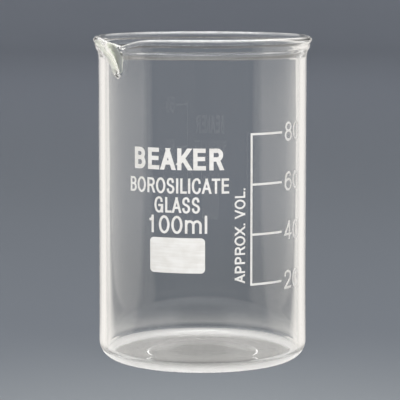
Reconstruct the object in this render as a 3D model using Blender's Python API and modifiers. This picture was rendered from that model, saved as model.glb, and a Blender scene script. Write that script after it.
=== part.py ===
"""A 100 ml laboratory beaker: one wall of borosilicate glass with white enamel fired onto it.

The glass is a single turned body, with a beaded rim, a pushed-up foot and a pouring spout
that is pressed out of the rim while it is soft. Each mark printed on it is a thin island of
enamel of its own: the graduated scale, its figures, the words and the pencil-marking spot.
The origin is the centre of the foot, +Z is up, and the print faces -Y.
"""

import math

import bmesh
import bpy
from mathutils import Vector
from mathutils.geometry import delaunay_2d_cdt

MM = 0.001

# Glass body
BODY_RADIUS = 25.0 * MM
WALL = 1.6 * MM
HEIGHT = 77.7 * MM
FLOOR_TOP = 1.5 * MM
FLOOR_CROWN = 0.3 * MM
FOOT_CORNER = 4.2 * MM
BORE_CORNER = 1.5 * MM
PUNT_RADIUS = 13.2 * MM
PUNT_RISE = 0.6 * MM
PUNT_SHOULDER = 0.8 * MM

# Rim: the wall flares out and ends in a fire-polished bead
RIM_RADIUS = 26.15 * MM
BEAD_RADIUS = 1.05 * MM
FLARE_HEIGHT = 4.5 * MM

# Spout: a finger-wide channel pressed outwards, between two shoulders that sag
SPOUT_ANGLE = math.radians(-53.0)
SPOUT_REACH = 5.0 * MM
SPOUT_LENGTH = 8.7 * MM
CHANNEL_HALF_INSIDE = 1.5 * MM
CHANNEL_HALF_OUTSIDE = 2.6 * MM
SHOULDER_SAG = 2.1 * MM
SHOULDER_SPREAD = math.radians(17.0)
LIP_LIFT = 1.8 * MM
PRESSED_ROWS = 8

# Facets of the turned body, closer together at the spout
TURN_STEPS = 96
CROWDING = 0.62
WELD = 0.000001

# Enamel: printed flat, wrapped round the wall
ENAMEL_GAP = 0.3 * MM
ENAMEL_THICKNESS = 0.15 * MM
WRAP_STRIP = 2.0 * MM
CUT_SNAP = 0.02 * MM
SMALLEST_AREA = 0.0001 * MM * MM
LINE_WIDTH = 0.52 * MM

# Scale: a line with one tick for each 20 ml, at arc lengths from the front of the wall
SCALE_LINE_AT = 11.66 * MM
SCALE_TICK_END = 20.77 * MM
FIRST_TICK_HEIGHT = 21.0 * MM
TICK_SPACING = 11.65 * MM
TICK_VOLUMES = (20, 40, 60, 80)
FIGURES_AT = 21.75 * MM
FIGURES_WIDTH = 6.25 * MM
FIGURES_HEIGHT = 4.4 * MM

# Words, all centred on one line down the wall
WORDS_CENTRE = -6.1 * MM
CAPACITY_BASE = 33.1 * MM
CAPACITY_HEIGHT = 4.1 * MM
CAPACITY_WIDTH = 14.5 * MM
LEGEND_BASELINE = 10.05 * MM
LEGEND_START = 21.5 * MM
LEGEND_LENGTH = 22.0 * MM
LEGEND_HEIGHT = 2.55 * MM

# Pencil-marking spot
SPOT_WIDTH = 13.6 * MM
SPOT_HEIGHT = 8.3 * MM
SPOT_CENTRE_HEIGHT = 28.0 * MM
SPOT_CORNER = 1.0 * MM


def clear_scene():
    for obj in list(bpy.data.objects):
        bpy.data.objects.remove(obj)


def new_material(name, colour, roughness, transmission=0.0):
    material = bpy.data.materials.new(name)
    material.use_nodes = True
    shader = material.node_tree.nodes["Principled BSDF"]
    shader.inputs["Base Color"].default_value = (*colour, 1.0)
    shader.inputs["Roughness"].default_value = roughness
    shader.inputs["Metallic"].default_value = 0.0
    shader.inputs["IOR"].default_value = 1.473 if transmission else 1.5
    shader.inputs["Transmission Weight"].default_value = transmission
    return material


def eased(share):
    """0 to 1 with no kink at either end."""
    share = min(max(share, 0.0), 1.0)
    return share * share * (3.0 - 2.0 * share)


def arc(centre, radius, start, end, steps):
    """Points from one angle to another, in degrees, about a centre in the profile's plane."""
    points = []
    for step in range(steps + 1):
        angle = math.radians(start + (end - start) * step / steps)
        points.append((centre[0] + radius * math.cos(angle), centre[1] + radius * math.sin(angle)))
    return points


def bore_radius(z):
    flare = eased((z - (HEIGHT - FLARE_HEIGHT)) / (FLARE_HEIGHT - BEAD_RADIUS))
    return BODY_RADIUS - WALL + flare * (RIM_RADIUS - 2 * BEAD_RADIUS - BODY_RADIUS + WALL)


def outside_radius(z):
    flare = eased((z - (HEIGHT - FLARE_HEIGHT)) / (FLARE_HEIGHT - 1.6 * BEAD_RADIUS))
    return BODY_RADIUS + flare * (RIM_RADIUS - 0.35 * MM - BODY_RADIUS)


def glass_profile():
    """Half section of the glass, from the middle of its floor, over the rim, to the middle of its foot."""
    bore = BODY_RADIUS - WALL
    points = [(0.0, FLOOR_TOP + FLOOR_CROWN)]
    points.append((0.6 * (bore - BORE_CORNER), FLOOR_TOP + 0.6 * FLOOR_CROWN))
    points += arc((bore - BORE_CORNER, FLOOR_TOP + BORE_CORNER), BORE_CORNER, -90, 0, 5)
    spout_foot = HEIGHT - SPOUT_LENGTH
    pressed = HEIGHT - BEAD_RADIUS - spout_foot
    for row in range(PRESSED_ROWS):
        z = spout_foot + pressed * row / PRESSED_ROWS
        points.append((bore_radius(z), z))
    points += arc((RIM_RADIUS - BEAD_RADIUS, HEIGHT - BEAD_RADIUS), BEAD_RADIUS, 180, -45, 7)
    for row in range(PRESSED_ROWS - 2, -1, -1):
        z = spout_foot + pressed * row / PRESSED_ROWS
        points.append((outside_radius(z), z))
    points += arc((BODY_RADIUS - FOOT_CORNER, FOOT_CORNER), FOOT_CORNER, 0, -90, 6)
    points.append((PUNT_RADIUS + PUNT_SHOULDER, 0.0))
    points.append((PUNT_RADIUS - PUNT_SHOULDER, 0.8 * PUNT_RISE))
    points.append((0.0, PUNT_RISE))
    return points


def turned_mesh(name, profile, steps):
    """The profile spun about Z by a Screw modifier, as a mesh."""
    half = bpy.data.meshes.new(name + "_profile")
    pairs = [(i, i + 1) for i in range(len(profile) - 1)]
    half.from_pydata([(x, 0.0, z) for x, z in profile], pairs, [])
    spun = bpy.data.objects.new(name + "_profile", half)
    bpy.context.scene.collection.objects.link(spun)
    screw = spun.modifiers.new("turn", "SCREW")
    screw.axis = "Z"
    screw.angle = math.tau
    screw.steps = steps
    screw.render_steps = steps
    screw.use_merge_vertices = True
    screw.merge_threshold = WELD
    bpy.context.view_layer.update()
    graph = bpy.context.evaluated_depsgraph_get()
    mesh = bpy.data.meshes.new_from_object(spun.evaluated_get(graph))
    mesh.name = name
    bpy.data.objects.remove(spun)
    return mesh


def press_spout(mesh):
    """Crowds the facets round the spout, then presses the channel out of the soft rim."""
    for vertex in mesh.vertices:
        x, y, z = vertex.co
        radius = math.hypot(x, y)
        if radius < WELD:
            continue
        even = math.atan2(x, -y)
        from_spout = even - CROWDING * math.sin(even)
        depth = BODY_RADIUS - WALL / 2 - radius
        if z > HEIGHT - FLARE_HEIGHT:
            depth = (bore_radius(z) + outside_radius(z)) / 2 - radius
        outer_share = min(max(0.5 - depth / WALL, 0.0), 1.0)
        half_width = CHANNEL_HALF_INSIDE + outer_share * (CHANNEL_HALF_OUTSIDE - CHANNEL_HALF_INSIDE)
        ramp = min(max((z - (HEIGHT - SPOUT_LENGTH)) / SPOUT_LENGTH, 0.0), 1.0)
        channel = math.exp(-((abs(from_spout) * BODY_RADIUS / half_width) ** 3))
        shoulder = math.exp(-((from_spout / SHOULDER_SPREAD) ** 2))
        radius += SPOUT_REACH * channel * ramp**1.15
        z += (LIP_LIFT * channel - SHOULDER_SAG * shoulder) * ramp**2
        angle = SPOUT_ANGLE + from_spout
        vertex.co = (radius * math.sin(angle), -radius * math.cos(angle), z)


def add_object(name, mesh, material, collection):
    mesh.materials.clear()
    mesh.materials.append(material)
    obj = bpy.data.objects.new(name, mesh)
    collection.objects.link(obj)
    return obj


def make_glass(material, collection):
    mesh = turned_mesh("glass_body", glass_profile(), TURN_STEPS)
    press_spout(mesh)
    mesh.shade_smooth()
    mesh.set_sharp_from_angle(angle=math.radians(40.0))
    return add_object("glass_body", mesh, material, collection)


def flat_outline(name, points):
    """A closed outline as a filled 2D curve."""
    curve = bpy.data.curves.new(name, "CURVE")
    curve.dimensions = "2D"
    curve.fill_mode = "BOTH"
    spline = curve.splines.new("POLY")
    spline.points.add(len(points) - 1)
    for point, (x, y) in zip(spline.points, points):
        point.co = (x, y, 0.0, 1.0)
    spline.use_cyclic_u = True
    return curve


def word_curve(name, letters):
    """A word in the plain sans-serif letters that Blender carries, one unit high."""
    curve = bpy.data.curves.new(name, "FONT")
    curve.body = letters
    curve.resolution_u = 3
    return curve


def sheet_of(curve):
    """The filled curve as a flat sheet with its points welded."""
    stand_in = bpy.data.objects.new(curve.name, curve)
    bpy.context.scene.collection.objects.link(stand_in)
    bpy.context.view_layer.update()
    graph = bpy.context.evaluated_depsgraph_get()
    mesh = bpy.data.meshes.new_from_object(stand_in.evaluated_get(graph))
    bpy.data.objects.remove(stand_in)
    sheet = bmesh.new()
    sheet.from_mesh(mesh)
    bpy.data.meshes.remove(mesh)
    bmesh.ops.remove_doubles(sheet, verts=sheet.verts, dist=WELD)
    return sheet


def fit_sheet(sheet, left, bottom, width, height):
    """Stretches the flat sheet to a box."""
    xs = [vertex.co.x for vertex in sheet.verts]
    ys = [vertex.co.y for vertex in sheet.verts]
    low_x, low_y = min(xs), min(ys)
    scale_x = width / (max(xs) - low_x)
    scale_y = height / (max(ys) - low_y)
    for vertex in sheet.verts:
        vertex.co.x = left + (vertex.co.x - low_x) * scale_x
        vertex.co.y = bottom + (vertex.co.y - low_y) * scale_y


def cut_in_strips(sheet):
    """The same sheet in triangles that end at upright lines, so that it can bend along them."""
    outline = [edge for edge in sheet.edges if len(edge.link_faces) == 1]
    corners = {vertex for edge in outline for vertex in edge.verts}
    place = {vertex: number for number, vertex in enumerate(corners)}
    points = [vertex.co.xy for vertex in corners]
    lines = [tuple(place[vertex] for vertex in edge.verts) for edge in outline]
    sides = [(points[first].copy(), points[last].copy()) for first, last in lines]
    low_x, high_x = min(p.x for p in points), max(p.x for p in points)
    low_y, high_y = min(p.y for p in points), max(p.y for p in points)
    strip = math.floor(low_x / WRAP_STRIP) + 1
    while strip * WRAP_STRIP < high_x:
        lines.append((len(points), len(points) + 1))
        points.append(Vector((strip * WRAP_STRIP, low_y - WRAP_STRIP)))
        points.append(Vector((strip * WRAP_STRIP, high_y + WRAP_STRIP)))
        strip += 1
    spots, _, triangles, *_ = delaunay_2d_cdt(points, lines, [], 0, CUT_SNAP)
    cut = bmesh.new()
    vertices = [cut.verts.new((spot.x, spot.y, 0.0)) for spot in spots]
    for triangle in triangles:
        first, second, third = (spots[number] for number in triangle)
        area = (second - first).cross(third - first) / 2
        if area > SMALLEST_AREA and is_inside((first + second + third) / 3, sides):
            cut.faces.new([vertices[number] for number in triangle])
    bmesh.ops.delete(cut, geom=[vertex for vertex in cut.verts if not vertex.link_faces], context="VERTS")
    sheet.free()
    return cut


def is_inside(point, sides):
    """Whether a line from the point to the right crosses the outline an odd number of times."""
    crossings = 0
    for start, end in sides:
        if (start.y > point.y) != (end.y > point.y):
            share = (point.y - start.y) / (end.y - start.y)
            crossings += start.x + share * (end.x - start.x) > point.x
    return crossings % 2 == 1


def islands_of(sheet):
    """The sheet's separate islands of enamel, each as a set of its vertices."""
    waiting = set(sheet.verts)
    islands = []
    while waiting:
        reached = [waiting.pop()]
        island = set(reached)
        while reached:
            for edge in reached.pop().link_edges:
                fresh = set(edge.verts) & waiting
                waiting -= fresh
                island |= fresh
                reached += fresh
        islands.append(island)
    return islands


def add_print(name, sheet, material, collection):
    """Wraps the sheet round the wall and thickens it outwards."""
    radius = BODY_RADIUS + ENAMEL_GAP
    for vertex in sheet.verts:
        angle = vertex.co.x / BODY_RADIUS
        vertex.co = (radius * math.sin(angle), -radius * math.cos(angle), vertex.co.y)
    mesh = bpy.data.meshes.new(name)
    sheet.to_mesh(mesh)
    sheet.free()
    layer = add_object(name, mesh, material, collection).modifiers.new("enamel", "SOLIDIFY")
    layer.thickness = ENAMEL_THICKNESS
    layer.offset = 1.0


def print_letters(name, sheet, reads_up, material, collection):
    """Each letter becomes an object, named by its place in the word."""
    direction = Vector((0.0, 1.0, 0.0)) if reads_up else Vector((1.0, 0.0, 0.0))
    islands = islands_of(sheet)
    islands.sort(key=lambda island: min(vertex.co.dot(direction) for vertex in island))
    sheet.verts.index_update()
    for number, island in enumerate(islands, start=1):
        kept = {vertex.index for vertex in island}
        letter = sheet.copy()
        others = [vertex for vertex in letter.verts if vertex.index not in kept]
        bmesh.ops.delete(letter, geom=others, context="VERTS")
        add_print(f"{name}_{number:02d}", letter, material, collection)
    sheet.free()


def print_word(name, letters, left, bottom, width, height, material, collection):
    sheet = sheet_of(word_curve(name, letters))
    fit_sheet(sheet, left, bottom, width, height)
    print_letters(name, cut_in_strips(sheet), False, material, collection)


def print_centred_words(material, collection):
    """The kind of vessel, its material and, below them, the capacity, whose figure one has a flag."""
    rows = (
        ("word_beaker", "BEAKER", 47.9 * MM, 5.0 * MM, 21.7 * MM),
        ("word_borosilicate", "BOROSILICATE", 42.5 * MM, 3.5 * MM, 24.9 * MM),
        ("word_glass", "GLASS", 38.0 * MM, 3.6 * MM, 11.2 * MM),
    )
    for name, letters, bottom, height, width in rows:
        print_word(name, letters, WORDS_CENTRE - width / 2, bottom, width, height, material, collection)
    one_width = 1.45 * MM
    left = WORDS_CENTRE - CAPACITY_WIDTH / 2
    top = CAPACITY_HEIGHT
    stem_left = one_width - LINE_WIDTH
    one = [
        (stem_left, 0.0),
        (one_width, 0.0),
        (one_width, top),
        (one_width - 0.7 * LINE_WIDTH, top),
        (0.0, 0.78 * top),
        (0.0, 0.68 * top),
        (stem_left, 0.74 * top),
    ]
    sheet = sheet_of(flat_outline("capacity_one", one))
    fit_sheet(sheet, left, CAPACITY_BASE, one_width, CAPACITY_HEIGHT)
    add_print("capacity_one", cut_in_strips(sheet), material, collection)
    rest = one_width + 0.75 * MM
    rest_width = CAPACITY_WIDTH - rest
    print_word("capacity", "00ml", left + rest, CAPACITY_BASE, rest_width, CAPACITY_HEIGHT, material, collection)


def print_legend(material, collection):
    """APPROX. VOL., read upwards beside the scale: drawn level, then turned a quarter turn."""
    sheet = sheet_of(word_curve("legend", "APPROX. VOL."))
    fit_sheet(sheet, 0.0, 0.0, LEGEND_LENGTH, LEGEND_HEIGHT)
    for vertex in sheet.verts:
        x, y, z = vertex.co
        vertex.co = (LEGEND_BASELINE - y, LEGEND_START + x, z)
    print_letters("legend", cut_in_strips(sheet), True, material, collection)


def print_scale(material, collection):
    """The upright line with its ticks as one comb, then two figures at the end of each tick."""
    half = LINE_WIDTH / 2
    heights = [FIRST_TICK_HEIGHT + TICK_SPACING * i for i in range(len(TICK_VOLUMES))]
    comb = [(SCALE_LINE_AT - half, heights[-1] + half), (SCALE_LINE_AT - half, heights[0] - half)]
    for number, height in enumerate(heights):
        if number > 0:
            comb.append((SCALE_LINE_AT + half, height - half))
        comb.append((SCALE_TICK_END, height - half))
        comb.append((SCALE_TICK_END, height + half))
        if number < len(heights) - 1:
            comb.append((SCALE_LINE_AT + half, height + half))
    sheet = cut_in_strips(sheet_of(flat_outline("scale_line", comb)))
    add_print("scale_line", sheet, material, collection)
    for volume, height in zip(TICK_VOLUMES, heights):
        bottom = height + 0.15 * MM - FIGURES_HEIGHT / 2
        name = f"figures_{volume}"
        print_word(name, str(volume), FIGURES_AT, bottom, FIGURES_WIDTH, FIGURES_HEIGHT, material, collection)


def print_spot(material, collection):
    """The rounded block of enamel that takes pencil."""
    half_width = SPOT_WIDTH / 2 - SPOT_CORNER
    half_height = SPOT_HEIGHT / 2 - SPOT_CORNER
    outline = []
    for side_x, side_y, start in ((1, 1, 0), (-1, 1, 90), (-1, -1, 180), (1, -1, 270)):
        centre = (WORDS_CENTRE + side_x * half_width, SPOT_CENTRE_HEIGHT + side_y * half_height)
        outline += arc(centre, SPOT_CORNER, start, start + 90, 4)
    sheet = cut_in_strips(sheet_of(flat_outline("marking_spot", outline)))
    add_print("marking_spot", sheet, material, collection)


clear_scene()
beaker = bpy.data.collections.new("beaker")
bpy.context.scene.collection.children.link(beaker)
glass = new_material("borosilicate_glass", (0.95, 0.98, 0.97), 0.0, transmission=1.0)
enamel = new_material("white_enamel", (0.92, 0.91, 0.89), 0.45)
make_glass(glass, beaker)
print_centred_words(enamel, beaker)
print_legend(enamel, beaker)
print_scale(enamel, beaker)
print_spot(enamel, beaker)
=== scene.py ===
"""A 100 ml laboratory beaker of clear borosilicate glass, with white enamel print, on a pale sweep."""

import math

import bmesh
import bpy
import numpy as np
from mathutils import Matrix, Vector
from mathutils.geometry import delaunay_2d_cdt


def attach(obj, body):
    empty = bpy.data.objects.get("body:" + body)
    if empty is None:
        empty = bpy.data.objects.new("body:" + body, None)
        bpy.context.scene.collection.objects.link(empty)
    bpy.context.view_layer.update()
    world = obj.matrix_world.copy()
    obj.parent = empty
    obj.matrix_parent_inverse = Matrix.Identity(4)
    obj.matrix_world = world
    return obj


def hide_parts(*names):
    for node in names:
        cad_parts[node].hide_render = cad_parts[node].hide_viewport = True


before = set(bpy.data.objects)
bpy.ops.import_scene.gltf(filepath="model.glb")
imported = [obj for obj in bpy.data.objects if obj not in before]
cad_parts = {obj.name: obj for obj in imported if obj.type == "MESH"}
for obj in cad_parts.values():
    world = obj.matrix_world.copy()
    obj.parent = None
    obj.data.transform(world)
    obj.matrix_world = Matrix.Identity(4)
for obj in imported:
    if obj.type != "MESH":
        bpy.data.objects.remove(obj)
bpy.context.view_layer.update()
MM = 0.001
scene = bpy.context.scene


# --- Camera ---------------------------------------------------------------------------------
# A long lens half a metre away, a little above the rim and looking slightly down, so that the
# mouth shows as a thin ellipse and the foot as a wider one.
CAMERA_AT = (-0.613 * MM, -501.0 * MM, 98.52 * MM)
CAMERA_DIP = math.radians(6.881)
camera_data = bpy.data.cameras.new("camera")
camera_data.lens = 188.2
camera_data.sensor_width = 36.0
camera_data.clip_start = 0.01
camera = bpy.data.objects.new("camera", camera_data)
camera.location = CAMERA_AT
camera.rotation_euler = (math.pi / 2 - CAMERA_DIP, 0.0, 0.0)
scene.collection.objects.link(camera)
scene.camera = camera
scene.view_settings.view_transform = "Standard"
scene.cycles.max_bounces = 48
scene.cycles.glossy_bounces = 32
scene.cycles.transmission_bounces = 48


# --- Sweep ----------------------------------------------------------------------------------
# A round sweep of white paper, level under the beaker and turned up at its edge. Painted shade
# makes it grey in a strip behind the beaker and in front of it, with a painted pool of light just in
# front of the beaker; it is white to the left and right, which is what draws the bright edges of
# clear glass. A second sheet, seen only by the glass, is that paper lit.
SWEEP_FLAT = 1.5
SWEEP_RISE = 0.9
SWEEP_TURN = 0.5
SHEET_FLAT = 2.1
SHEET_TURN = 0.25
SHADE_FAR = (0.189, 0.206, 0.240)
SHADE_MIDDLE = (0.144, 0.158, 0.180)
LIGHT_POOL_COLOUR = (0.246, 0.264, 0.280)
WHITE_SIDE = (0.83, 0.815, 0.79)
GLOW_FAR = (0.163, 0.178, 0.204)
GLOW_CLOSE = (0.136, 0.148, 0.166)
GLOW_NEAR = (0.250, 0.268, 0.285)
GLOW_SIDE = (0.915, 0.885, 0.845)
GLOW_EDGE = (0.62, 0.61, 0.595)
STRIP_HALF = 0.056
STRIP_SPREAD = 0.1
STRIP_FADE = 0.16
STRIP_HALF_IN_GLASS = 0.014
STRIP_SPREAD_IN_GLASS = 0.29
STRIP_FADE_IN_GLASS = 0.012
STRIP_SPREADS_TO = 1.3
FRONT_SPREAD = 2.2
FRONT_START = 0.02
FRONT_FADE = 0.35
FRONT_FADE_IN_GLASS = 0.03
LIGHT_POOL_MIDDLE = (0.0, -0.12, 0.0)
LIGHT_POOL_REACH = 0.17
UNDER_REACH = 0.06
UNDER_SHARE = 0.60


class Wire:
    """A value in a material's node tree. Sums on it add Math nodes; node() adds any other node."""

    def __init__(self, tree, socket=None):
        self.tree = tree
        self.socket = socket

    def node(self, kind, settings, inputs, output=0):
        made = self.tree.nodes.new(kind)
        for name, value in settings.items():
            setattr(made, name, value)
        for name, value in inputs.items():
            if isinstance(value, Wire):
                self.tree.links.new(value.socket, made.inputs[name])
            else:
                made.inputs[name].default_value = value
        return Wire(self.tree, made.outputs[output] if made.outputs else None)

    def math(self, operation, first, second=0.0):
        return self.node("ShaderNodeMath", {"operation": operation}, {0: first, 1: second})

    def __add__(self, other):
        return self.math("ADD", self, other)

    __radd__ = __add__

    def __sub__(self, other):
        return self.math("SUBTRACT", self, other)

    def __rsub__(self, other):
        return self.math("SUBTRACT", other, self)

    def __mul__(self, other):
        return self.math("MULTIPLY", self, other)

    __rmul__ = __mul__

    def __truediv__(self, other):
        return self.math("DIVIDE", self, other)

    def __abs__(self):
        return self.math("ABSOLUTE", self)

    def clamped(self):
        return self.math("MINIMUM", self.math("MAXIMUM", self, 0.0), 1.0)

    def eased(self):
        """0 to 1 with no kink at either end."""
        share = self.clamped()
        return share * share * (3.0 - 2.0 * share)

    def between(self, first, second):
        """The colour that is this share of the way from the first to the second."""
        return self.node(
            "ShaderNodeMix",
            {"data_type": "RGBA"},
            {0: self, 6: first, 7: second},
            output=2,
        )


def rgba(colour):
    return (*colour, 1.0)


def new_material(name, finish):
    """A material whose shader is what finish makes from the tree."""
    material = bpy.data.materials.new(name)
    material.use_nodes = True
    tree = material.node_tree
    tree.nodes.clear()
    shader = finish(Wire(tree))
    shader.node("ShaderNodeOutputMaterial", {}, {"Surface": shader})
    return material


def place_of(tree):
    """Where the surface is, in metres, as three numbers."""
    point = tree.node("ShaderNodeNewGeometry", {}, {}, output=0)
    split = point.node("ShaderNodeSeparateXYZ", {}, {"Vector": point})
    parts = split.socket.node.outputs
    return point, [Wire(tree.tree, parts[i]) for i in range(3)]


def paper(tree, point, colour):
    fibre = tree.node("ShaderNodeTexNoise", {}, {"Vector": point, "Scale": 900.0, "Detail": 3.0})
    bump = tree.node("ShaderNodeBump", {}, {"Strength": 0.05, "Distance": 0.0001, "Height": fibre})
    return tree.node(
        "ShaderNodeBsdfPrincipled",
        {},
        {"Base Color": colour, "Roughness": 0.85, "Normal": bump, "Specular IOR Level": 0.0},
    )


def near_front(tree, point):
    """Painted pool of light: 1 on the paper just in front of the beaker, falling to 0 around it."""
    away = tree.node("ShaderNodeVectorMath", {"operation": "DISTANCE"}, {0: point, 1: LIGHT_POOL_MIDDLE}, output=1)
    return (1.0 - away / LIGHT_POOL_REACH).eased()


def sweep_paper(tree):
    point, (x, y, z) = place_of(tree)
    # Painted shade: the white paper is made grey in a strip behind and in front of the beaker, paler far
    # back, with a painted pool of light just in front of the beaker; to the sides it stays white.
    behind = ((abs(x) - STRIP_HALF - STRIP_SPREAD * y) / STRIP_FADE).eased()
    before = ((abs(x) + FRONT_SPREAD * y + FRONT_START) / FRONT_FADE).eased()
    shade_and_pool = ((y - 0.3) / 0.8).eased().between(rgba(SHADE_MIDDLE), rgba(SHADE_FAR))
    shade_and_pool = near_front(tree, point).between(shade_and_pool, rgba(LIGHT_POOL_COLOUR))
    return paper(tree, point, (behind * before).between(shade_and_pool, rgba(WHITE_SIDE)))


def sweep_in_glass(tree):
    """What the glass shows of the sweep, as lit paper: the white starts closer to the beaker and
    dims far out, and the light that gathers under the foot makes the paper pale there."""
    point, (x, y, z) = place_of(tree)
    spread = STRIP_SPREAD_IN_GLASS * tree.math("MINIMUM", y, STRIP_SPREADS_TO)
    behind = ((abs(x) - STRIP_HALF_IN_GLASS - spread) / STRIP_FADE_IN_GLASS).eased()
    before = ((abs(x) + FRONT_SPREAD * y) / FRONT_FADE_IN_GLASS).eased()
    centre = tree.node("ShaderNodeVectorMath", {"operation": "LENGTH"}, {0: point}, output=1)
    under = (1.2 - centre / UNDER_REACH).eased()
    white = tree.math("MAXIMUM", behind * before, UNDER_SHARE * under)
    shade_and_pool = ((y - 0.08) / 0.25).eased().between(rgba(GLOW_CLOSE), rgba(GLOW_FAR))
    shade_and_pool = near_front(tree, point).between(shade_and_pool, rgba(GLOW_NEAR))
    side = ((abs(x) - 0.7) / 0.8).eased().between(rgba(GLOW_SIDE), rgba(GLOW_EDGE))
    return tree.node("ShaderNodeEmission", {}, {"Color": white.between(shade_and_pool, side), "Strength": 1.0})


def arc(centre, radius, start, end, steps):
    """Points from one angle to another, in degrees, about a centre in the profile's plane."""
    angles = [math.radians(start + (end - start) * step / steps) for step in range(steps + 1)]
    return [(centre[0] + radius * math.cos(a), centre[1] + radius * math.sin(a)) for a in angles]


def turned(profile, turns):
    """Vertices and faces of a profile spun about Z; points on the axis become one vertex."""
    vertices = []
    rings = []
    for radius, z in profile:
        if radius == 0.0:
            rings.append([len(vertices)] * len(turns))
            vertices.append((0.0, 0.0, z))
        else:
            rings.append(list(range(len(vertices), len(vertices) + len(turns))))
            vertices += [(radius * math.sin(turn), -radius * math.cos(turn), z) for turn in turns]
    faces = []
    for low, high in zip(rings, rings[1:]):
        for i in range(len(turns)):
            j = (i + 1) % len(turns)
            corners = list(dict.fromkeys((low[i], low[j], high[j], high[i])))
            if len(corners) > 2:
                faces.append(corners)
    return vertices, faces


def add_mesh(name, vertices, faces, material):
    mesh = bpy.data.meshes.new(name)
    mesh.from_pydata(vertices, [], faces)
    shell = bmesh.new()
    shell.from_mesh(mesh)
    bmesh.ops.recalc_face_normals(shell, faces=shell.faces)
    shell.to_mesh(mesh)
    shell.free()
    mesh.materials.append(material)
    piece = bpy.data.objects.new(name, mesh)
    scene.collection.objects.link(piece)
    return piece


sweep_profile = [(0.0, 0.0), (0.3, 0.0), (0.9, 0.0)]
for step in range(13):
    lean = math.radians(90.0 * step / 12)
    out = SWEEP_FLAT + SWEEP_TURN * math.sin(lean)
    sweep_profile.append((out, SWEEP_TURN * (1.0 - math.cos(lean))))
sweep_profile.append((SWEEP_FLAT + SWEEP_TURN, SWEEP_TURN + SWEEP_RISE))
sweep_turns = [math.tau * i / 96 for i in range(96)]
sweep = add_mesh("sweep", *turned(sweep_profile, sweep_turns), new_material("sweep_paper", sweep_paper))
sweep.visible_glossy = False
sweep.visible_transmission = False
sheet_profile = [(0.0, 0.0), (0.3, 0.0), (0.9, 0.0)] + arc((SHEET_FLAT, SHEET_TURN), SHEET_TURN, -90, 0, 8)
sheet_glow = new_material("sweep_in_glass", sweep_in_glass)
seen = add_mesh("sweep_in_glass", *turned(sheet_profile, sweep_turns), sheet_glow)
seen.visible_camera = False
seen.visible_diffuse = False
for paper_sheet in (sweep, seen):
    paper_sheet.visible_shadow = False
    paper_sheet.data.shade_smooth()


# --- Lights ---------------------------------------------------------------------------------
# One large soft lamp above and in front, and an even fill from all round. The glass does not
# see the lamp: what it mirrors is the diffuser below.
LAMP_AT = (0.0, -1.1, 1.5)
LAMP_SIZE = (1.6, 1.0)
LAMP_WATTS = 48.0
LAMP_COLOUR = (1.0, 0.99, 0.97)
FILL_COLOUR = (0.80, 0.82, 0.85)
FILL_STRENGTH = 0.45


def add_lamp(name, at, look_at, size, watts, colour):
    data = bpy.data.lights.new(name, "AREA")
    data.shape = "RECTANGLE"
    data.size, data.size_y = size
    data.energy = watts
    data.color = colour
    lamp = bpy.data.objects.new(name, data)
    lamp.location = at
    away = Vector(at) - Vector(look_at)
    lamp.rotation_euler = away.to_track_quat("Z", "Y").to_euler()
    lamp.visible_camera = False
    scene.collection.objects.link(lamp)
    return lamp


lamp = add_lamp("lamp_front", LAMP_AT, (0.0, 0.0, 0.0), LAMP_SIZE, LAMP_WATTS, LAMP_COLOUR)
lamp.visible_glossy = False
lamp.visible_transmission = False
world = bpy.data.worlds.new("fill")
world.use_nodes = True
background = world.node_tree.nodes["Background"]
background.inputs["Color"].default_value = rgba(FILL_COLOUR)
background.inputs["Strength"].default_value = FILL_STRENGTH
scene.world = world


# --- Diffuser -------------------------------------------------------------------------------
# A tent of white cloth far outside the sweep. Only the glass sees it: one skin is what its
# surfaces mirror, bright overhead, and the other, much dimmer, is what shows through it.
TENT_RADIUS = 4.0
CLOTH_COLOUR = (1.0, 0.99, 0.97)
MIRRORED_GLOW = 0.2
MIRRORED_LOWER = 2.4
MIRRORED_CROWN = 8.0
DIM_GLOW = 0.16
DIM_SIDE = 1.2
DIM_CROWN = 2.8


def mirrored_cloth(tree):
    _, (x, y, z) = place_of(tree)
    lower = ((z / TENT_RADIUS - 0.25) / 0.35).eased()
    crown = ((z / TENT_RADIUS - 0.68) / 0.22).eased()
    glow = MIRRORED_GLOW + MIRRORED_LOWER * lower + MIRRORED_CROWN * crown
    return tree.node("ShaderNodeEmission", {}, {"Color": rgba(CLOTH_COLOUR), "Strength": glow})


def dim_cloth(tree):
    _, (x, y, z) = place_of(tree)
    crown = ((z / TENT_RADIUS - 0.55) / 0.3).eased()
    side = ((abs(x) / TENT_RADIUS - 0.35) / 0.3).eased()
    glow = DIM_GLOW + DIM_SIDE * side + DIM_CROWN * crown
    return tree.node("ShaderNodeEmission", {}, {"Color": rgba(CLOTH_COLOUR), "Strength": glow})


tent_profile = [(0.0, TENT_RADIUS)] + arc((0.0, 0.0), TENT_RADIUS, 85, -10, 19)
for name, cloth in (("tent_mirrored", mirrored_cloth), ("tent_through", dim_cloth)):
    tent = add_mesh(name, *turned(tent_profile, sweep_turns), new_material(name, cloth))
    tent.visible_camera = False
    tent.visible_diffuse = False
    tent.visible_shadow = False
    tent.visible_glossy = name == "tent_mirrored"
    tent.visible_transmission = name == "tent_through"


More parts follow.
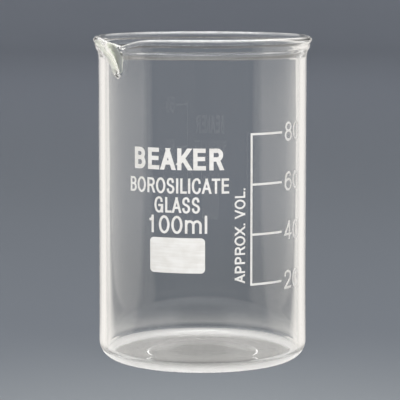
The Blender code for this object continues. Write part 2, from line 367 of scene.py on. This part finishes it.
# --- Glass ----------------------------------------------------------------------------------
# One piece of borosilicate glass, blown in a turning mould. The rim is flared and fire-polished
# to a bead, the middle of the foot is pushed up, and the spout is pressed out with a rod while
# the glass is soft.
BODY_RADIUS = 25.0 * MM
WALL = 1.6 * MM
HEIGHT = 77.7 * MM
RIM_RADIUS = 26.15 * MM
BEAD_RADIUS = 1.05 * MM
FLARE_HEIGHT = 4.5 * MM
FLARE_REACH = 0.80 * MM
RING_DOWN = 2.8 * MM
RING_HALF = 0.6 * MM
RING_REACH = 0.14 * MM
WALL_STEP = 3 * MM
RIM_STEP = 0.2 * MM
FLOOR_TOP = 1.5 * MM
FLOOR_CROWN = 0.3 * MM
FOOT_CORNER = 4.2 * MM
BORE_CORNER = 1.5 * MM
PUNT_RADIUS = 13.2 * MM
PUNT_RISE = 0.6 * MM
PUNT_SHOULDER = 0.4 * MM
SPOUT_ANGLE = math.radians(-53.0)
SPOUT_REACH = 5.0 * MM
SPOUT_LENGTH = 8.7 * MM
SPOUT_FIRST = 0.9 * MM
GROOVE_HALF_INSIDE = 1.0 * MM
GROOVE_HALF_OUTSIDE = 1.6 * MM
SHOULDER_SAG = 2.0 * MM
SHOULDER_SPREAD = math.radians(14.0)
LIP_LIFT = 1.8 * MM
SPOUT_KEEPS = 20 * MM
FROSTED_GROOVE_HALF = 1.45 * MM
FROSTED_FLANK_HALF = 2.4 * MM
FROSTED_FOOT_RADIUS = 20.5 * MM
FROSTED_FOOT_HEIGHT = 3.4 * MM
WIPED_ROUGHNESS = 0.012
FLANK_ROUGHNESS = 0.02
GROOVE_ROUGHNESS = 0.28
FOOT_ROUGHNESS = 0.30
GROOVE_TINT = (0.80, 0.84, 0.73)
GLASS_IOR = 1.473
TURN_STEPS = 400
CROWDING = 0.72


def eased(share):
    share = min(max(share, 0.0), 1.0)
    return share * share * (3.0 - 2.0 * share)


def bore_radius(z):
    flare = eased((z - (HEIGHT - FLARE_HEIGHT)) / (FLARE_HEIGHT - BEAD_RADIUS))
    return BODY_RADIUS - WALL + flare * (RIM_RADIUS - 2 * BEAD_RADIUS - BODY_RADIUS + WALL)


def outside_radius(z):
    """The wall, then a low second ring under the bead where the rim was reheated."""
    down = HEIGHT - z
    flare = 1.0 - eased((down - 1.6 * MM) / (3.4 * MM))
    ring = math.exp(-(((down - RING_DOWN) / RING_HALF) ** 2))
    return BODY_RADIUS + flare * FLARE_REACH + ring * RING_REACH


def glass_profile():
    """Half section, from the middle of the floor, over the rim, to the middle of the foot, with
    the share of the way from the inside of the wall to its outside."""
    bore = BODY_RADIUS - WALL
    floor = [(0.0, FLOOR_TOP + FLOOR_CROWN)]
    for step in range(1, 9):
        share = step / 9
        floor.append((share * (bore - BORE_CORNER), FLOOR_TOP + FLOOR_CROWN * (1.0 - eased(share))))
    floor += arc((bore - BORE_CORNER, FLOOR_TOP + BORE_CORNER), BORE_CORNER, -90, 0, 14)
    inside = [(bore, 4 * MM + WALL_STEP * step) for step in range(21)]
    for step in range(53):
        z = 66 * MM + RIM_STEP * step
        inside.append((bore_radius(z), z))
    bead = arc((RIM_RADIUS - BEAD_RADIUS, HEIGHT - BEAD_RADIUS), BEAD_RADIUS, 180, -50, 24)
    outside = []
    for step in range(49):
        z = HEIGHT - 1.95 * MM - RIM_STEP * step
        outside.append((outside_radius(z), z))
    outside += [(BODY_RADIUS, 63 * MM - WALL_STEP * step) for step in range(19)]
    foot = arc((BODY_RADIUS - FOOT_CORNER, FOOT_CORNER), FOOT_CORNER, 0, -90, 16)
    for step in range(9):
        share = step / 8
        out = PUNT_RADIUS + PUNT_SHOULDER * (1.0 - 2.0 * share)
        foot.append((out, 0.9 * PUNT_RISE * eased(share)))
    foot += [(0.5 * PUNT_RADIUS, 0.97 * PUNT_RISE), (0.0, PUNT_RISE)]
    points = floor + inside + bead + outside + foot
    first = len(floor) + len(inside)
    shares = [min(max((i - first) / len(bead), 0.0), 1.0) for i in range(len(points))]
    return points, shares


def press_spout(points, shares):
    """Presses the groove out of the soft rim, which sags on both sides of it. Points crowd round
    the groove, and the floor keeps its place."""
    place = np.array(points)
    radius = np.hypot(place[:, 0], place[:, 1])
    even = np.arctan2(place[:, 0], -place[:, 1])
    aside = even - CROWDING * np.sin(even)
    z = place[:, 2]
    half = GROOVE_HALF_INSIDE + shares * (GROOVE_HALF_OUTSIDE - GROOVE_HALF_INSIDE)
    end = HEIGHT - SPOUT_LENGTH + half
    half = half * (1.0 + 0.3 * np.clip((z - end) / (HEIGHT - end), 0.0, 1.0))
    short = np.maximum(end - z, 0.0)
    groove = np.exp(-((np.hypot(aside * BODY_RADIUS, short) / half) ** 4))
    ramp = np.clip((z - end) / (HEIGHT - end), 0.0, 1.0)
    shoulder = np.exp(-((aside / SHOULDER_SPREAD) ** 2))
    lower = np.clip((z - (HEIGHT - SPOUT_LENGTH)) / SPOUT_LENGTH, 0.0, 1.0)
    solid = np.clip((radius - SPOUT_KEEPS) / MM, 0.0, 1.0)
    radius = radius + groove * (SPOUT_FIRST + (SPOUT_REACH - SPOUT_FIRST) * ramp) * solid
    z = z + (LIP_LIFT * groove * ramp - SHOULDER_SAG * shoulder * lower**2) * lower
    angle = SPOUT_ANGLE + aside
    return np.stack([radius * np.sin(angle), -radius * np.cos(angle), z], axis=1)


def clear_glass(tree):
    """Clear, but frosted where it was worked: on the ring it stands on and down the groove."""
    point, (x, y, z) = place_of(tree)
    across = x * math.cos(SPOUT_ANGLE) + y * math.sin(SPOUT_ANGLE)
    out = x * math.sin(SPOUT_ANGLE) - y * math.cos(SPOUT_ANGLE)
    short = tree.math("MAXIMUM", (HEIGHT - SPOUT_LENGTH + GROOVE_HALF_OUTSIDE) - z, 0.0)
    from_groove = tree.math("SQRT", across * across + short * short)
    outer_end = ((out - SPOUT_KEEPS) / MM).eased()
    groove = ((FROSTED_GROOVE_HALF - from_groove) / (0.35 * MM)).eased() * outer_end
    flank = ((FROSTED_FLANK_HALF - from_groove) / (0.8 * MM)).eased() * outer_end
    level = point.node("ShaderNodeVectorMath", {"operation": "MULTIPLY"}, {0: point, 1: (1.0, 1.0, 0.0)})
    from_axis = level.node("ShaderNodeVectorMath", {"operation": "LENGTH"}, {0: level}, output=1)
    low = ((FROSTED_FOOT_HEIGHT - z) / (1.4 * MM)).eased()
    foot = ((from_axis - FROSTED_FOOT_RADIUS) / (1.5 * MM)).eased() * low
    stretched = tree.node("ShaderNodeMapping", {}, {"Vector": point, "Scale": (1.0, 1.0, 0.12)})
    draw = tree.node("ShaderNodeTexNoise", {}, {"Vector": stretched, "Scale": 260.0, "Detail": 2.0})
    wipe = tree.node("ShaderNodeTexNoise", {}, {"Vector": point, "Scale": 120.0, "Detail": 4.0})
    bump = tree.node("ShaderNodeBump", {}, {"Strength": 0.06, "Distance": 0.0002, "Height": draw})
    tint = wipe.between((0.996, 1.0, 0.994, 1.0), (1.0, 1.0, 0.998, 1.0))
    rough = WIPED_ROUGHNESS * wipe + FLANK_ROUGHNESS * flank
    rough = rough + GROOVE_ROUGHNESS * groove + FOOT_ROUGHNESS * foot
    return tree.node(
        "ShaderNodeBsdfPrincipled",
        {},
        {
            "Base Color": groove.between(tint, rgba(GROOVE_TINT)),
            "Roughness": rough,
            "IOR": GLASS_IOR,
            "Transmission Weight": 1.0,
            "Normal": bump,
        },
    )


glass_points, glass_shares = glass_profile()
turns = [math.tau * i / TURN_STEPS - math.pi for i in range(TURN_STEPS)]
glass_vertices, glass_faces = turned(glass_points, turns)
glass_share_of = []
for (radius, _), share in zip(glass_points, glass_shares):
    glass_share_of += [share] * (1 if radius == 0.0 else TURN_STEPS)
glass_vertices = press_spout(glass_vertices, np.array(glass_share_of))
glass = add_mesh("glass", glass_vertices.tolist(), glass_faces, new_material("clear_glass", clear_glass))
glass.data.shade_smooth()
glass.visible_shadow = False
glass.visible_diffuse = False
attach(glass, "root")
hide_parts("glass_body")


# --- Enamel ---------------------------------------------------------------------------------
# White ceramic ink, screen-printed round the outside of the wall and fired into the glass. Each
# letter, figure and mark is an island of its own, drawn as strokes of nearly one pen width. The
# plane numbers here are millimetres: the arc round the wall, then the height.
PEN = 0.52
BOLD_PEN = 0.98
INK_LIFT = 0.02 * MM
INK_THICKNESS = 0.03 * MM
BEND_STRIP = 0.6
ENAMEL_DARK = (0.80, 0.775, 0.735)
ENAMEL_PALE = (0.92, 0.905, 0.88)
CAP_HEIGHT = 718
FIGURE_HEIGHT = 703

# A letter's advance, its ink box (left, bottom, right, top) in thousandths of its size, and its
# strokes in that box: bar has square ends, beam has plain ends, slant is cut level, curve runs
# smoothly through its points, and ring is part of an ellipse: centre, radii, first and last angle.
LETTERS = {
    "A": (667, (14, 0, 654, 718), [
        ("slant", (0.0, 0.0), (0.5, 1.0)), ("slant", (1.0, 0.0), (0.5, 1.0)),
        ("beam", (0.17, 0.30), (0.83, 0.30))]),
    "B": (667, (74, 0, 627, 718), [
        ("bar", (0.0, 0.0), (0.0, 1.0)), ("beam", (0.0, 1.0), (0.52, 1.0)),
        ("beam", (0.0, 0.53), (0.55, 0.53)), ("beam", (0.0, 0.0), (0.55, 0.0)),
        ("ring", (0.52, 0.765), (0.42, 0.235), 90, -90), ("ring", (0.55, 0.265), (0.45, 0.265), 90, -90)]),
    "C": (722, (44, -19, 681, 737), [
        ("curve", (0.97, 0.68), (0.84, 0.92), (0.52, 1.0), (0.14, 0.86), (0.0, 0.5),
         (0.14, 0.14), (0.52, 0.0), (0.86, 0.10), (1.0, 0.36))]),
    "E": (667, (86, 0, 616, 718), [
        ("bar", (0.0, 0.0), (0.0, 1.0)), ("bar", (0.0, 1.0), (0.96, 1.0)),
        ("bar", (0.0, 0.53), (0.90, 0.53)), ("bar", (0.0, 0.0), (1.0, 0.0))]),
    "G": (778, (48, -19, 704, 737), [
        ("curve", (0.95, 0.69), (0.83, 0.92), (0.50, 1.0), (0.14, 0.86), (0.0, 0.5),
         (0.14, 0.14), (0.50, 0.0), (0.83, 0.09), (0.99, 0.36)),
        ("bar", (1.0, 0.02), (1.0, 0.46)), ("bar", (0.58, 0.46), (1.0, 0.46))]),
    "I": (278, (91, 0, 188, 718), [("bar", (0.5, 0.0), (0.5, 1.0))]),
    "K": (667, (76, 0, 663, 718), [
        ("bar", (0.0, 0.0), (0.0, 1.0)), ("slant", (0.04, 0.30), (0.93, 1.0)),
        ("slant", (1.0, 0.0), (0.36, 0.57))]),
    "L": (556, (76, 0, 537, 718), [("bar", (0.0, 0.0), (0.0, 1.0)), ("bar", (0.0, 0.0), (1.0, 0.0))]),
    "O": (778, (39, -19, 739, 737), [("ring", (0.5, 0.5), (0.5, 0.5), 0, 360)]),
    "P": (667, (86, 0, 622, 718), [
        ("bar", (0.0, 0.0), (0.0, 1.0)), ("beam", (0.0, 1.0), (0.52, 1.0)),
        ("beam", (0.0, 0.44), (0.52, 0.44)), ("ring", (0.52, 0.72), (0.48, 0.28), 90, -90)]),
    "R": (722, (88, 0, 684, 718), [
        ("bar", (0.0, 0.0), (0.0, 1.0)), ("beam", (0.0, 1.0), (0.58, 1.0)),
        ("beam", (0.0, 0.50), (0.58, 0.50)), ("ring", (0.58, 0.75), (0.38, 0.25), 90, -90),
        ("slant", (0.98, 0.0), (0.62, 0.50))]),
    "S": (667, (49, -19, 620, 737), [
        ("curve", (0.93, 0.72), (0.80, 0.93), (0.50, 1.0), (0.17, 0.93), (0.04, 0.75),
         (0.15, 0.60), (0.50, 0.51), (0.86, 0.41), (0.98, 0.24), (0.84, 0.07), (0.50, 0.0),
         (0.15, 0.07), (0.0, 0.29))]),
    "T": (611, (14, 0, 597, 718), [("bar", (0.0, 1.0), (1.0, 1.0)), ("bar", (0.5, 0.0), (0.5, 1.0))]),
    "V": (667, (20, 0, 647, 718), [("slant", (0.0, 1.0), (0.5, 0.0)), ("slant", (1.0, 1.0), (0.5, 0.0))]),
    "X": (667, (19, 0, 648, 718), [("slant", (0.0, 0.0), (0.97, 1.0)), ("slant", (1.0, 0.0), (0.03, 1.0))]),
    ".": (278, (87, 0, 191, 106), [("bar", (0.5, 0.0), (0.5, 0.0))]),
    "0": (556, (37, -19, 519, 703), [("ring", (0.5, 0.5), (0.5, 0.5), 0, 360)]),
    "1": (556, (101, 0, 359, 703), [
        ("bar", (1.0, 0.0), (1.0, 1.0)),
        ("curve", (0.0, 0.76), (0.50, 0.80), (0.80, 0.89), (1.0, 1.0))]),
    "2": (556, (26, 0, 507, 703), [
        ("curve", (0.02, 0.68), (0.12, 0.93), (0.50, 1.0), (0.88, 0.92), (0.98, 0.70),
         (0.85, 0.49), (0.45, 0.25), (0.06, 0.0)),
        ("bar", (0.02, 0.0), (1.0, 0.0))]),
    "4": (556, (25, 0, 523, 703), [
        ("slant", (0.0, 0.25), (0.66, 1.0)), ("bar", (0.0, 0.25), (1.0, 0.25)),
        ("bar", (0.72, 0.0), (0.72, 1.0))]),
    "6": (556, (38, -19, 518, 703), [
        ("ring", (0.5, 0.31), (0.5, 0.31), 0, 360),
        ("curve", (0.95, 0.80), (0.78, 0.97), (0.50, 1.0), (0.16, 0.85), (0.02, 0.52), (0.01, 0.30))]),
    "8": (556, (38, -19, 517, 703), [
        ("ring", (0.5, 0.77), (0.42, 0.23), 0, 360), ("ring", (0.5, 0.27), (0.5, 0.27), 0, 360)]),
    "m": (833, (65, 0, 769, 538), [
        ("bar", (0.0, 0.0), (0.0, 1.0)), ("ring", (0.25, 0.66), (0.25, 0.34), 180, 0),
        ("bar", (0.5, 0.0), (0.5, 0.62)), ("ring", (0.75, 0.66), (0.25, 0.34), 180, 0),
        ("bar", (1.0, 0.0), (1.0, 0.62))]),
    "l": (222, (67, 0, 155, 718), [("bar", (0.5, 0.0), (0.5, 1.0))]),
    " ": (278, (0, 0, 0, 0), []),
}


def smooth_path(points, steps=6):
    """A Catmull-Rom curve through the points."""
    place = np.array(points)
    place = np.vstack([2 * place[0] - place[1], place, 2 * place[-1] - place[-2]])
    path = []
    for a, b, c, d in zip(place, place[1:], place[2:], place[3:]):
        for step in range(steps):
            t = step / steps
            path.append(b + 0.5 * t * (c - a + t * (2 * a - 5 * b + 4 * c - d + t * (3 * (b - c) + d - a))))
    return path + [place[-2]]


def ribbon(path, half, closed=False):
    """Four-sided faces along a path, reaching half a pen to each side of it."""
    place = np.array(path)
    if closed:
        before, after = np.roll(place, 1, axis=0), np.roll(place, -1, axis=0)
    else:
        before = np.vstack([place[:1], place[:-1]])
        after = np.vstack([place[1:], place[-1:]])
    along = after - before
    along = along / np.hypot(along[:, 0], along[:, 1])[:, None]
    side = half * np.stack([-along[:, 1], along[:, 0]], axis=1)
    left, right = place + side, place - side
    count = len(place)
    return [
        [left[i], right[i], right[(i + 1) % count], left[(i + 1) % count]]
        for i in range(count if closed else count - 1)
    ]


def stroke_faces(kind, corners, put, half):
    """The faces of one stroke; put turns a place in the ink box into a place on the wall's plane."""
    if kind == "curve":
        return ribbon([put(point) for point in smooth_path(corners)], half)
    if kind == "ring":
        (u, v), (wide, high), first, last = corners
        closed = last - first == 360
        steps = 32 if closed else 14
        turns = [math.radians(first + (last - first) * i / steps) for i in range(steps + (not closed))]
        return ribbon([put((u + wide * math.cos(a), v + high * math.sin(a))) for a in turns], half, closed)
    start, end = (np.array(put(corner)) for corner in corners)
    if kind == "slant":
        lean = (end - start) / abs(end[1] - start[1])
        start, end = start - half * lean, end + half * lean
        side = np.array((half * np.hypot(*lean), 0.0))
        return [[start - side, start + side, end + side, end - side]]
    length = np.hypot(*(end - start))
    along = (end - start) / length if length else np.array((1.0, 0.0))
    if kind == "bar":
        start, end = start - half * along, end + half * along
    return ribbon([start, end], half)


def word_strokes(word, left, bottom, width, height, pen, tall=CAP_HEIGHT):
    """For each letter of a word fitted to a box, the faces of its strokes."""
    pens = []
    at = 0.0
    for letter in word:
        pens.append(at)
        at += LETTERS[letter][0]
    first = LETTERS[word[0]][1][0]
    last = pens[-1] + LETTERS[word[-1]][1][2]
    wide = width / (last - first)
    high = height / tall
    drawn = []
    for letter, at in zip(word, pens):
        _, (x0, y0, x1, y1), strokes = LETTERS[letter]
        box = (left + wide * (at + x0 - first), bottom + high * y0, wide * (x1 - x0), high * (y1 - y0))

        def put(point, box=box):
            room = [max(side - pen, 0.0) for side in box[2:]]
            return [box[i] + (box[i + 2] - room[i]) / 2 + room[i] * point[i] for i in range(2)]

        faces = []
        for kind, *corners in strokes:
            faces += stroke_faces(kind, corners, put, pen / 2)
        if faces:
            drawn.append(faces)
    return drawn


def merged(faces):
    """One flat sheet that covers what the faces cover, cut in strips that can be bent."""
    points, loops, cuts = [], [], []
    for face in faces:
        area = sum(a[0] * b[1] - b[0] * a[1] for a, b in zip(face, face[1:] + face[:1]))
        loops.append(list(range(len(points), len(points) + len(face))))
        points += [Vector(corner) for corner in (face if area > 0 else face[::-1])]
    low, high = np.min(points, axis=0), np.max(points, axis=0)
    for step in range(1, int((high[0] - low[0]) / BEND_STRIP) + 1):
        cuts.append((len(points), len(points) + 1))
        points += [Vector((low[0] + step * BEND_STRIP, end)) for end in (low[1] - 0.1, high[1] + 0.1)]
    flat, _, triangles, _, _, covers = delaunay_2d_cdt(points, cuts, loops, 0, 1e-5)
    return flat, [list(triangle) for triangle, cover in zip(triangles, covers) if cover]


def bend_on_wall(flat, triangles):
    """A thin closed shell of the sheet, bent round the outside of the wall."""
    used = sorted({corner for triangle in triangles for corner in triangle})
    number = {corner: i for i, corner in enumerate(used)}
    count = len(used)
    vertices = []
    for lift in (INK_LIFT, INK_LIFT + INK_THICKNESS):
        radius = BODY_RADIUS + lift
        for corner in used:
            turn = flat[corner][0] * MM / BODY_RADIUS
            vertices.append((radius * math.sin(turn), -radius * math.cos(turn), flat[corner][1] * MM))
    inner = [[number[corner] for corner in triangle] for triangle in triangles]
    sides = {(a, b) for face in inner for a, b in zip(face, face[1:] + face[:1])}
    faces = [face[::-1] for face in inner] + [[corner + count for corner in face] for face in inner]
    faces += [[a, b, b + count, a + count] for a, b in sides if (b, a) not in sides]
    return vertices, faces


def fired_enamel(tree):
    """Matt white, mottled, with faint bands from the drag of the squeegee."""
    point, _ = place_of(tree)
    level = tree.node("ShaderNodeMapping", {}, {"Vector": point, "Scale": (1.0, 1.0, 14.0)})
    drag = tree.node("ShaderNodeTexNoise", {}, {"Vector": level, "Scale": 130.0, "Detail": 3.0})
    mottle = tree.node("ShaderNodeTexNoise", {}, {"Vector": point, "Scale": 420.0, "Detail": 5.0})
    grain = tree.node("ShaderNodeTexNoise", {}, {"Vector": point, "Scale": 9000.0, "Detail": 2.0})
    shade = (0.5 * mottle + 0.5 * drag - 0.3) / 0.4
    bump = tree.node("ShaderNodeBump", {}, {"Strength": 0.25, "Distance": 0.00002, "Height": grain})
    return tree.node(
        "ShaderNodeBsdfPrincipled",
        {},
        {
            "Base Color": shade.eased().between(rgba(ENAMEL_DARK), rgba(ENAMEL_PALE)),
            "Roughness": 0.38 + 0.2 * mottle,
            "Normal": bump,
        },
    )


enamel = new_material("fired_enamel", fired_enamel)


def print_on_wall(node, faces):
    """One island of ink, in place of the plain one of the same name."""
    island = add_mesh("ink_" + node, *bend_on_wall(*merged(faces)), enamel)
    island.data.shade_smooth()
    island.data.set_sharp_from_angle(angle=math.radians(40.0))
    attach(island, "root")
    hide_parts(node)


def print_word(name, word, left, bottom, width, height, pen=PEN, tall=CAP_HEIGHT, upward=False):
    """Prints each letter on its own; upward words start at a height and read up the wall."""
    for number, faces in enumerate(word_strokes(word, left, bottom, width, height, pen, tall), 1):
        if upward:
            faces = [[(-corner[1], corner[0]) for corner in face] for face in faces]
        print_on_wall(f"{name}_{number:02d}", faces)


WORDS_AT = -6.05
print_word("word_beaker", "BEAKER", WORDS_AT - 10.85, 47.9, 21.7, 5.0, BOLD_PEN)
print_word("word_borosilicate", "BOROSILICATE", WORDS_AT - 12.2, 42.5, 24.4, 3.5)
print_word("word_glass", "GLASS", WORDS_AT - 5.45, 38.0, 10.9, 3.6)
print_word("legend", "APPROX. VOL.", 21.5, -10.05, 22.0, 2.55, 0.44, upward=True)

capacity = word_strokes("100ml", WORDS_AT - 7.05, 33.25, 14.1, 4.1, 0.58, FIGURE_HEIGHT)
print_on_wall("capacity_one", capacity[0])
for number, faces in enumerate(capacity[1:], 1):
    print_on_wall(f"capacity_{number:02d}", faces)

SCALE_LINE = 11.66
TICK_END = 20.7
FIRST_TICK = 21.0
TICK_SPACING = 11.65
TICK_HEIGHTS = [FIRST_TICK + TICK_SPACING * step for step in range(4)]
SPOT = (13.2, 8.2)
SPOT_AT = 28.1
SPOT_CORNER = 0.95
lines = stroke_faces("bar", [(SCALE_LINE, TICK_HEIGHTS[0]), (SCALE_LINE, TICK_HEIGHTS[3])], tuple, PEN / 2)
for volume, height in zip((20, 40, 60, 80), TICK_HEIGHTS):
    lines += stroke_faces("beam", [(SCALE_LINE, height), (TICK_END, height)], tuple, PEN / 2)
    print_word(f"figures_{volume}", str(volume), 21.75, height - 2.05, 6.25, 4.4, 0.55, FIGURE_HEIGHT)
print_on_wall("scale_line", lines)
rounded = []
for side_x, side_z, first in ((1, 1, 0), (-1, 1, 90), (-1, -1, 180), (1, -1, 270)):
    middle = (WORDS_AT + side_x * (SPOT[0] / 2 - SPOT_CORNER), SPOT_AT + side_z * (SPOT[1] / 2 - SPOT_CORNER))
    rounded += arc(middle, SPOT_CORNER, first, first + 90, 8)
print_on_wall("marking_spot", [rounded])
